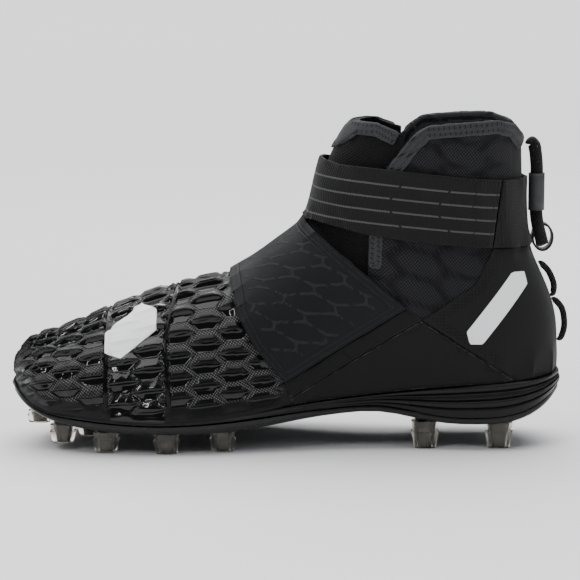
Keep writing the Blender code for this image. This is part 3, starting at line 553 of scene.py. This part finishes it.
mesh = upper.data
spots = points_of(mesh)
x, y, z = spots.T * 1000
along, round_up = round_foot(spots)
folded = -np.abs(round_up) - 0.10 * (along + 88)
cell_s, cell_t, strip = hex_cells(along, folded, pitch=15.6, rise=10.8, point=6.4)
above_welt = z - np.interp(x, *welt_line)
front_gap = np.interp(z, *strap_line) - x
rib_front = np.abs(along + 102.3)
rib_rear = np.abs(x - np.interp(z, *rib_line))
rib = np.minimum(rib_front, rib_rear)
crest, scale_lift, pit_depth, scale_lean = 0.6, 2.1, 0.9, 0.4
roll_lift, rib_height, mark_lift = 2.2, 1.3, 1.0
recess = np.minimum(strip - 0.5, crest - cell_t)
slope = np.clip(strip / 3.6, 0.0, 1.0)
pit = np.clip((crest - cell_t) / 1.1, 0.0, 1.0) * np.clip((strip - 0.3) / 0.7, 0.0, 1.0)
leaning = scale_lean * np.clip((cell_s + 6) / 12, 0, 1) * (1 - pit)
lift = scale_lift * slope * (1 - pit) - pit_depth * pit + leaning
held = smooth(above_welt, 2.0, 9.0) * smooth(front_gap, 0.5, 5.0) * smooth(rib, 0.8, 2.2)
roll = roll_lift * (1 - smooth(above_welt, 0.5, 7.0)) * smooth(above_welt, -2.5, -0.5)
roll = roll * smooth(-x, -12, 25)
roll = roll * (1 - 0.5 * smooth(-x, 146, 155))
rib_lift = rib_height * (1 - smooth(rib, 0.3, 1.8)) * smooth(above_welt, 0.5, 4.0)
rib_lift = rib_lift * smooth(front_gap, 1, 5)
lift = lift * held + roll + rib_lift
mark = hexagon_mark(x, z, centre=(-88.8, 67.5), length=36.0, width=15.0, tilt=38)
mark = np.where(y < 0, mark, -20.0)
lift = np.where(mark > -1.5, lift + (mark_lift - lift) * smooth(mark, -1.5, 1.0) * 0.85, lift)

turn_up, height = round_ankle(spots)
pod_up = height + 0.30 * x
pod_edge = hex_cells(x + 4.0, pod_up, pitch=25.0, rise=15.0, point=9.0)[2]
puff = 0.85 * smooth(pod_edge, 0.0, 2.3) - 0.25
rear = smooth(x, 40, 46) * smooth(z, 60, 66)
normals = table_of(mesh.vertices, "normal")
faces_out, centres = outward_faces(mesh)
face_of_corner = np.repeat(np.arange(len(mesh.polygons)), [len(face.vertices) for face in mesh.polygons])
outside = np.ones(len(mesh.vertices), bool)
outside[corners_of(mesh)[~faces_out[face_of_corner]]] = False
in_front = smooth(front_gap, -1, 2)
free_of_panels = smooth(z - np.interp(x, *panel_line), 2, 7)
amount = np.where(outside, lift * in_front + puff * rear * free_of_panels, 0.0)
move_points(mesh, spots + normals * amount[:, None] / 1000.0)

write_field(mesh, "recess", recess * held)
write_field(mesh, "strip", strip)
write_field(mesh, "rib", rib)
write_field(mesh, "mark", mark)
write_field(mesh, "welt", above_welt)
write_field(mesh, "pod", pod_edge)
write_field(mesh, "hem", border_field(mesh, "collar_binding"))
lay_cloth(mesh, np.where(x > 0, turn_up, along), np.where(x > 0, height, round_up))

mark_white = (0.95, 0.955, 0.965, 1)
skin_look = Finish("moulded_skin", {"Specular IOR Level": 0.12, "Coat Roughness": 0.04})
cloth = skin_look.cloth()
recess_in = skin_look.read("recess")
strip_in = skin_look.read("strip")
rib_in = skin_look.read("rib")
welt_in = skin_look.read("welt")
mark_in = skin_look.read("mark")
along_in = skin_look.part(cloth, 0)
knit_turn = skin_look.turned(cloth, 32)
loops = skin_look.dots(knit_turn, 0.00125)
dot = skin_look.step(loops, 0.44, 0.26)
window = skin_look.step(recess_in, 0.0, 0.35)
shine_panel = skin_look.step(along_in, -0.0998, -0.0988) * skin_look.step(along_in, -0.0693, -0.0703)
low_band = skin_look.step(welt_in, 9.0, 7.5)
bare = (shine_panel * 0.85).most(low_band).most(window)
on_rib = skin_look.step(rib_in, 1.6, 1.2)
strip_knit = skin_look.step(strip_in, 2.1, 1.5)
toe_part = skin_look.step(along_in, -0.0988, -0.1008)
knit = (1 - bare) * (1 - on_rib) * strip_knit.most(0.35 * toe_part)
blotch = skin_look.noise(skin_look.place(), 0.012)
thread = dot * knit
# Painted light and shade: the raised scale tops are painted lighter, and the grooves between scales and
# the recess windows darker; the windows are black moulding as well.
lit_plateau = skin_look.step(strip_in, 1.6, 3.0) * (1 - window) * (1 - shine_panel * 0.8)
skin = skin_look.mix(lit_plateau * 0.6 + blotch * 0.4, grey(0.0008), grey(0.0065))
matt = low_band * (1 - shine_panel * 0.9)
skin = skin_look.mix(matt, skin, grey(0.0085))
worn = skin_look.mix(thread, skin, grey(0.125))
marked = skin_look.step(mark_in, -0.15, 0.15)
skin_look.wear(Base_Color=skin_look.mix(marked, worn, mark_white))
gloss = 0.20 + blotch * 0.10 + thread * 0.25 + knit * 0.22 - shine_panel.most(window) * 0.12 + matt * 0.25
skin_look.wear(Roughness=gloss + marked * (0.34 - gloss))
skin_look.wear(Coat_Weight=(shine_panel.most(window) * 0.42 + 0.05) * (1 - knit) * (1 - marked))
outline = skin_look.step(abs(recess_in - 0.1), 0.35, 0.0)
ripple = skin_look.noise(skin_look.place(), 0.004)
relief = dot * knit * 0.22 - outline * 0.25 + marked * 0.25 + ripple * 0.10
skin_look.wear(Normal=skin_look.bump(relief, 0.8))

quarter_look = Finish("padded_mesh", {"Sheen Weight": 0.06, "Specular IOR Level": 0.15})
cloth = quarter_look.cloth()
pod_in = quarter_look.read("pod")
eyes = quarter_look.dots(quarter_look.turned(cloth, 40, (1.0, 0.8, 1.0)), 0.0012)
eye = quarter_look.step(eyes, 0.46, 0.30)
# Painted light and shade: each padded pod is painted lighter on its crown and darker in the grooves
# between pods, and its mesh eyes are painted brighter on the crown.
lit_crown = quarter_look.step(pod_in, 0.2, 3.2)
fuzz = quarter_look.noise(quarter_look.place(), 0.010)
base = quarter_look.mix(lit_crown * 0.7 + fuzz * 0.3, grey(0.0012, 0.3), grey(0.0046, 0.25))
spine = quarter_look.part(quarter_look.place(), 0)
plain = quarter_look.step(spine, 0.1227, 0.1235)
meshed = quarter_look.mix(eye * (0.15 + lit_crown * 0.55), base, (0.030, 0.030, 0.034, 1))
quarter_look.wear(Base_Color=quarter_look.mix(plain, meshed, (0.0090, 0.0090, 0.0100, 1)))
quarter_look.wear(Roughness=0.62 + fuzz * 0.2)
quarter_look.wear(Normal=quarter_look.bump(eye * 0.22 * (1 - plain) + fuzz * 0.2, 0.7))

lining_look = Finish("brushed_lining", {"Sheen Weight": 0.10, "Specular IOR Level": 0.15})
cloth = lining_look.cloth()
rows = lining_look.step(lining_look.dots(cloth, 0.0011), 0.5, 0.25)
soft = lining_look.noise(lining_look.place(), 0.006)
plush = lining_look.mix(rows * 0.5 + soft * 0.4, grey(0.0025), grey(0.0140))
hem = lining_look.step(lining_look.read("hem"), 3.6, 3.2)
lining_look.wear(Base_Color=lining_look.mix(hem, plush, (0.034, 0.035, 0.038, 1)))
lining_look.wear(Roughness=0.75 + soft * 0.2)
lining_look.wear(Normal=lining_look.bump(rows * 0.2 + soft * 0.3, 0.8))
mesh.materials.clear()
for look in (skin_look, quarter_look, lining_look):
    mesh.materials.append(look.material)
zones = np.where(faces_out, np.where(centres[:, 0] > 0.0, 1, 0), 2)
mesh.polygons.foreach_set("material_index", zones)
mesh.update()
finish_piece(upper, "moulded_skin", "upper")


# Tongue: a thick soft front of black spacer mesh with open diagonal eyelets, stitched in below
# the throat. Only its upper part shows, above the midfoot strap.
cloth_gloss = {"Sheen Weight": 0.06, "Specular IOR Level": 0.16}
tongue_look = Finish("spacer_mesh", cloth_gloss)
cloth = tongue_look.cloth()
holes = tongue_look.dots(tongue_look.turned(cloth, 38, (1.0, 0.62, 1.0)), 0.00105)
thread = tongue_look.step(holes, 0.30, 0.50)
loft = tongue_look.noise(tongue_look.place(), 0.008)
yarn = tongue_look.mix(thread * (0.5 + loft * 0.5), grey(0.0003), grey(0.0026, 0.06))
tongue_look.wear(Base_Color=yarn)
tongue_look.wear(Roughness=0.6 + loft * 0.25)
tongue_look.wear(Normal=tongue_look.bump(thread * 0.3 + loft * 0.25, 0.8))
tongue = rounded_copy("spacer_tongue", "tongue", 2, 50, tongue_look.material)
even_rim(tongue.data, "tongue")
lay_cloth(tongue.data, *round_ankle(points_of(tongue.data)))
finish_piece(tongue, "spacer_mesh", "tongue")


# Lower quarter panels: one triangle of smooth black microfibre on each side between the strap's
# anchor, the heel counter and the welt, glued flat, with a pale cut edge.
def suede_look(name, dark, pale, edge_colour, edge_width, rough, slit=None):
    """Brushed smooth cloth with an edge of another grey, a fine seam and perhaps one slit, whose
    place is along and up in mm."""
    look = Finish(name, cloth_gloss)
    border = look.read("border")
    nap = look.noise(look.place(), 0.0009, 5.0)
    cloud = look.noise(look.place(), 0.022)
    base = look.mix(nap * 0.45 + cloud * 0.55, grey(dark), grey(pale))
    edge = look.step(border, edge_width, edge_width * 0.6)
    base = look.mix(edge, base, grey(edge_colour))
    if slit:
        right = look.part(look.place(), 0) * 1000 - slit[0]
        above = look.part(look.place(), 2) * 1000 - slit[1]
        cut = look.step(abs(right * 0.64 + above * 0.77), 0.95, 0.65)
        cut = cut * look.step(abs(right * 0.77 - above * 0.64), 4.4, 3.8)
        base = look.mix(cut, base, grey(0.0004))
    look.wear(Base_Color=base)
    look.wear(Roughness=rough + nap * 0.12)
    seam = look.step(abs(border - 1.6), 0.25, 0.0)
    look.wear(Normal=look.bump(nap * 0.10 + cloud * 0.3 - seam * 0.12, 0.8))
    return look


def bordered_copy(name, source, rounds, look):
    """A rounded piece whose points also carry their distance from its sharp edges, in mm."""
    piece = rounded_copy(name, source, rounds, 50, look.material)
    write_field(piece.data, "border", border_field(piece.data, source))
    return piece


greys = dict(dark=0.0028, pale=0.0056, edge_colour=0.070)
triangle_look = suede_look("smooth_microfibre", **greys, edge_width=0.35, rough=0.50)
for side in ("inner", "outer"):
    source = "lower_quarter_panel_" + side
    panel = bordered_copy("quarter_triangle_" + side, source, 2, triangle_look)
    finish_piece(panel, "microfibre", source)


# Strap anchor bands: a plain smooth band on each side that the midfoot strap is sewn to, running
# from the welt up under the strap, with one short dark slit below the strap.
greys = dict(dark=0.0024, pale=0.0052, edge_colour=0.020)
band_look = suede_look("plain_band", **greys, edge_width=0.40, rough=0.50, slit=(32.0, 54.0))
for side in ("inner", "outer"):
    source = "strap_base_band_" + side
    band = bordered_copy("anchor_band_" + side, source, 2, band_look)
    finish_piece(band, "coated_strap", source)


# Heel counter: one matt microsuede cup round the heel, pinked with small holes along its front
# edge. The printed mark's place holds a plain white hexagon on each side.
counter_look = Finish("heel_suede", cloth_gloss)
border = counter_look.read("border")
mark_in = counter_look.read("mark")
nap = counter_look.noise(counter_look.place(), 0.0008, 6.0)
cloud = counter_look.noise(counter_look.place(), 0.025)
suede = counter_look.mix(nap * 0.5 + cloud * 0.5, grey(0.0050, 0.04), grey(0.0094, 0.01))
marked = counter_look.step(mark_in, -0.15, 0.15)
pins = counter_look.step(counter_look.dots(counter_look.cloth(), 0.0019), 0.34, 0.22)
pinned = pins * counter_look.step(border, 1.6, 2.0) * counter_look.step(border, 6.4, 6.0)
pinned = pinned * counter_look.step(counter_look.part(counter_look.place(), 0), 0.120, 0.114)
edge = counter_look.step(border, 0.4, 0.1)
base = counter_look.mix(pinned.most(edge), suede, grey(0.0015))
counter_look.wear(Base_Color=counter_look.mix(marked, base, mark_white))
counter_look.wear(Roughness=0.60 + nap * 0.15 - marked * 0.20)
counter_look.wear(Normal=counter_look.bump(nap * 0.16 - pinned * 0.3 + marked * 0.25, 0.8))
counter = bordered_copy("heel_counter", "heel_counter_panel", 3, counter_look)
spots = points_of(counter.data) * 1000
side_mark = dict(centre=(115.2, 81.0), length=50.0, width=11.5, tilt=52)
write_field(counter.data, "mark", hexagon_mark(spots[:, 0], spots[:, 2], **side_mark))
lay_cloth(counter.data, spots[:, 0], spots[:, 2])
finish_piece(counter, "microfibre", "heel_counter_panel")


# Bindings: dark grey elastic tape folded over the cut edges of collar and tongue, sewn through
# with a black zigzag.
def plump(mesh, swell):
    """Thickens a piece along its normals by that many mm a side."""
    move_points(mesh, points_of(mesh) + table_of(mesh.vertices, "normal") * swell / 1000)


tape_look = Finish("elastic_tape", cloth_gloss)
cloth = tape_look.cloth()
border = tape_look.read("border")
reach = tape_look.part(cloth, 0) + tape_look.part(cloth, 1)
swing = (reach * 1000).swing(1.3)
zigzag = tape_look.step(abs(border - 1.0 - swing * 1.1), 0.34, 0.18)
ribs = tape_look.step((reach * 1000).swing(0.4), 0.1, 0.3)
fuzz = tape_look.noise(tape_look.place(), 0.0012, 4.0)
base = tape_look.mix(ribs * 0.4 + fuzz * 0.6, (0.020, 0.020, 0.022, 1), (0.052, 0.053, 0.057, 1))
tape_look.wear(Base_Color=tape_look.mix(zigzag, base, grey(0.004)))
tape_look.wear(Roughness=0.62 + fuzz * 0.2)
tape_look.wear(Normal=tape_look.bump(ribs * 0.10 + fuzz * 0.10 - zigzag * 0.25, 0.9))
taped = (("collar_tape", "collar_binding", "upper"), ("tongue_tape", "tongue_binding", "tongue"))
for name, source, rim in taped:
    tape = rounded_copy(name, source, 2, 200, tape_look.material, reach=0.5)
    even_rim(tape.data, rim)
    soften(tape.data, np.full(len(tape.data.vertices), True), 5)
    plump(tape.data, 0.50)
    write_field(tape.data, "border", border_field(tape.data, source))
    lay_cloth(tape.data, *round_ankle(points_of(tape.data)))
    finish_piece(tape, "elastic_tape", source)


# Midfoot strap: blue-black coated cloth wrapped over the instep and sewn down at both sides. A
# network of broken hexagon lines is embossed in it, and its edges are turned and stitched.
def embossed_lines(s, t):
    """Distance in mm from the nearest line of the strap's network of broken hexagons."""
    p, q = np.array((17.0, 5.0)), np.array((12.0, -12.5))
    strokes = [((0.0, 0.0), (7.0, 0.0)), ((10.0, 0.0), (17.0, 0.0)), ((17.0, 0.0), (21.4, -2.7)),
               ((24.5, -4.7), (29.0, -7.5)), ((0.0, 0.0), (0.0, -5.0))]
    size = p[0] * q[1] - p[1] * q[0]
    a = np.floor((s * q[1] - t * q[0]) / size)
    b = np.floor((t * p[0] - s * p[1]) / size)
    best = np.full(len(s), 1e9)
    for i in range(-3, 4):
        for j in range(-3, 4):
            left = s - (a + i) * p[0] - (b + j) * q[0]
            up = t - (a + i) * p[1] - (b + j) * q[1]
            for (x0, y0), (x1, y1) in strokes:
                dx, dy = x1 - x0, y1 - y0
                share = np.clip(((left - x0) * dx + (up - y0) * dy) / (dx * dx + dy * dy), 0, 1)
                gap = np.hypot(left - x0 - share * dx, up - y0 - share * dy)
                best = np.minimum(best, gap)
    return best


strap_look = Finish("coated_cloth", {"Specular IOR Level": 0.20})
border = strap_look.read("border")
line_in = strap_look.read("line")
cloth = strap_look.cloth()
weave = strap_look.step(strap_look.dots(strap_look.turned(cloth, 45), 0.0007), 0.5, 0.2)
cloud = strap_look.noise(strap_look.place(), 0.020)
reach = (strap_look.part(cloth, 0) * 0.7 + strap_look.part(cloth, 1)) * 1000
dash = strap_look.step(reach.swing(1.1), 0.25, 0.35)
first_row = strap_look.step(abs(border - 1.7), 0.28, 0.12)
second_row = strap_look.step(abs(border - 4.3), 0.30, 0.12)
stitch = dash * first_row.most(second_row)
line = strap_look.step(line_in, 1.00, 0.70) * strap_look.step(border, 6.0, 7.5)
dark_cloth, pale_cloth = (0.0026, 0.0029, 0.0038, 1), (0.0054, 0.0060, 0.0076, 1)
ground = strap_look.mix(cloud * 0.7 + weave * 0.3, dark_cloth, pale_cloth)
lined = strap_look.mix(line * 0.8, ground, (0.019, 0.019, 0.022, 1))
strap_look.wear(Base_Color=strap_look.mix(stitch * 0.7, lined, (0.022, 0.022, 0.025, 1)))
strap_look.wear(Roughness=0.50 + cloud * 0.14 + line * 0.08)
groove = strap_look.step(abs(border - 5.6), 0.6, 0.0)
height = line * 0.35 + weave * 0.05 + stitch * 0.15 - groove * 0.30 + cloud * 0.5
strap_look.wear(Normal=strap_look.bump(height, 0.8))
strap = bordered_copy("midfoot_wrap", "midfoot_strap", 3, strap_look)
spots = points_of(strap.data) * 1000
over = spots[:, 2] + 0.8 * (42.0 - np.minimum(np.abs(spots[:, 1]), 42.0))
write_field(strap.data, "line", embossed_lines(spots[:, 0] - 0.2, over + 1.0))
lay_cloth(strap.data, spots[:, 0], over)
finish_piece(strap, "coated_strap", "midfoot_strap")


# Ankle strap: charcoal elastic webbing with fine upright ribs and four woven pale stripes, drawn
# round the ankle and tacked with zigzags into a smooth tab at the heel.
def webbing_look(name, stripes):
    """Elastic webbing with woven stripes at those distances from its top edge, in mm."""
    look = Finish(name, cloth_gloss)
    cloth = look.cloth()
    along = look.part(cloth, 0) * 1000
    across = look.read("across")
    border = look.read("border")
    rib = look.step(along.swing(0.42), 0.08, 0.34)
    pick = look.step(across.swing(0.5), 0.1, 0.4)
    fuzz = look.noise(look.place(), 0.0010, 4.0)
    cloud = look.noise(look.place(), 0.02)
    ground = look.mix(rib * 0.35 + fuzz * 0.3 + cloud * 0.35, grey(0.0042), grey(0.0115))
    stripe = across * 0.0
    for place in stripes:
        stripe = stripe.most(look.step(abs(across - place), 0.60, 0.38))
    spot = look.part(look.place(), 0) * 1000
    tack = look.step(abs(spot - 100.5 - across.swing(2.6)), 0.42, 0.22)
    for middle in (57.0, 84.0):
        diamond = look.step(abs(spot - middle + 4.0 - abs(across - 19.3) * 0.7), 0.85, 0.55)
        stripe = stripe * (1 - diamond)
    striped = look.mix(stripe * (0.75 + rib * 0.25), ground, (0.078, 0.078, 0.080, 1))
    bars = look.step(along.swing(0.9), 0.62, 0.75) * look.step(abs(border - 2.4), 1.5, 1.2)
    bars = bars * look.step(look.part(look.place(), 0), 0.090, 0.093)
    sewn = tack.most(bars) * 0.8 if stripes else bars
    look.wear(Base_Color=look.mix(sewn, striped, grey(0.0025)))
    look.wear(Roughness=0.58 + fuzz * 0.22)
    look.wear(Normal=look.bump(rib * 0.16 + pick * 0.06 - sewn * 0.3 + stripe * 0.08, 0.9))
    return look


ankle_top = ([-2.2, 16.4, 27.6, 49.6, 71.6, 98.9, 117.2],
             [164.2, 162.9, 160.2, 158.6, 156.7, 153.9, 152.3])
stripes_down = (8.4, 15.6, 22.9, 30.2)
ankle_looks = (webbing_look("striped_webbing", stripes_down), webbing_look("plain_tab", ()))
ankle_pieces = (("ankle_webbing", "ankle_strap"), ("heel_tab", "heel_strap_tab"))
for (name, source), look in zip(ankle_pieces, ankle_looks):
    piece = bordered_copy(name, source, 3, look)
    spots = points_of(piece.data) * 1000
    write_field(piece.data, "across", np.polyval(np.polyfit(*ankle_top, 3), spots[:, 0]) - spots[:, 2])
    lay_cloth(piece.data, *round_ankle(spots / 1000))
    finish_piece(piece, "elastic_webbing", source)


# Pull loop: a round braid of black yarn with white flecks, led through a grey rubber sleeve, with
# both ends sewn in at the heel. It is held at both ends, so it isn't a free cord.
def braided_look(name, dark, pale, fleck, fleck_share):
    """Round braid in two greys, with flecks of a third where the noise passes fleck_share."""
    look = Finish(name, cloth_gloss)
    cloth = look.cloth()
    strand = look.dots(look.turned(cloth, 45, (1.0, 0.55, 1.0)), 0.0011)
    yarn = look.step(strand, 0.55, 0.15)
    specks = look.noise(look.turned(cloth, 0, (1.6, 0.8, 1.0)), 0.0013, 1.0)
    flecks = look.step(specks, fleck_share, fleck_share + 0.03)
    base = look.mix(yarn, grey(dark), grey(pale))
    look.wear(Base_Color=look.mix(flecks, base, grey(fleck)))
    look.wear(Roughness=0.62 + yarn * 0.1)
    look.wear(Normal=look.bump(yarn * 0.35, 1.0))
    return look


def lay_round(mesh, radius):
    """A UV map round an upright cord and along it."""
    spots = points_of(mesh)
    order = np.argsort(spots[:, 2])
    heights = spots[order, 2]
    shelves = np.linspace(heights[0], heights[-1], 16)
    slab = (heights[-1] - heights[0]) / 20
    middle = np.array([spots[np.abs(spots[:, 2] - shelf) < slab].mean(0) for shelf in shelves])
    centre_x = np.interp(spots[:, 2], shelves, middle[:, 0])
    centre_y = np.interp(spots[:, 2], shelves, middle[:, 1])
    angle = np.arctan2(spots[:, 1] - centre_y, spots[:, 0] - centre_x)
    lay_cloth(mesh, angle * radius, spots[:, 2] * 1000)


rope_look = braided_look("flecked_braid", dark=0.0012, pale=0.0090, fleck=0.22, fleck_share=0.72)
rope = rounded_copy("pull_rope", "pull_loop_rope", 2, 200, rope_look.material, reach=0.8)
lay_round(rope.data, radius=3.6)
finish_piece(rope, "braided_rope", "pull_loop_rope")

sleeve_look = Finish("grey_rubber", {"Specular IOR Level": 0.3})
bloom = sleeve_look.noise(sleeve_look.place(), 0.003)
sleeve_look.wear(Base_Color=sleeve_look.mix(bloom, grey(0.032, 0.06), grey(0.050, 0.06)))
sleeve_look.wear(Roughness=0.42 + bloom * 0.15)
sleeve_look.wear(Normal=sleeve_look.bump(sleeve_look.noise(sleeve_look.place(), 0.0010, 4.0) * 0.06))
sleeve = rounded_copy("rubber_grip", "pull_loop_sleeve", 2, 50, sleeve_look.material)
finish_piece(sleeve, "rubber_sleeve", "pull_loop_sleeve")


# Small loops down the heel's spine: one short tape loop that holds the rope's lower end, and two
# dark cords that arch from hole to hole.
loop_look = Finish("loop_tape", {"Sheen Weight": 0.25})
weft = loop_look.noise(loop_look.turned(loop_look.place(), 0, (1.0, 1.0, 6.0)), 0.0020, 3.0)
loop_look.wear(Base_Color=loop_look.mix(weft, grey(0.0030), grey(0.0120)))
loop_look.wear(Roughness=0.6 + weft * 0.15)
loop_look.wear(Normal=loop_look.bump(weft * 0.3))
loop = rounded_copy("tape_loop", "heel_tape_loop", 2, 60, loop_look.material)
finish_piece(loop, "elastic_tape", "heel_tape_loop")

spine_look = braided_look("spine_braid", dark=0.0030, pale=0.0170, fleck=0.030, fleck_share=0.62)
for side in ("upper", "lower"):
    cord = rounded_copy("spine_loop_" + side, "spine_cord_" + side, 2, 60, spine_look.material)
    lay_round(cord.data, radius=1.4)
    finish_piece(cord, "spine_cord", "spine_cord_" + side)
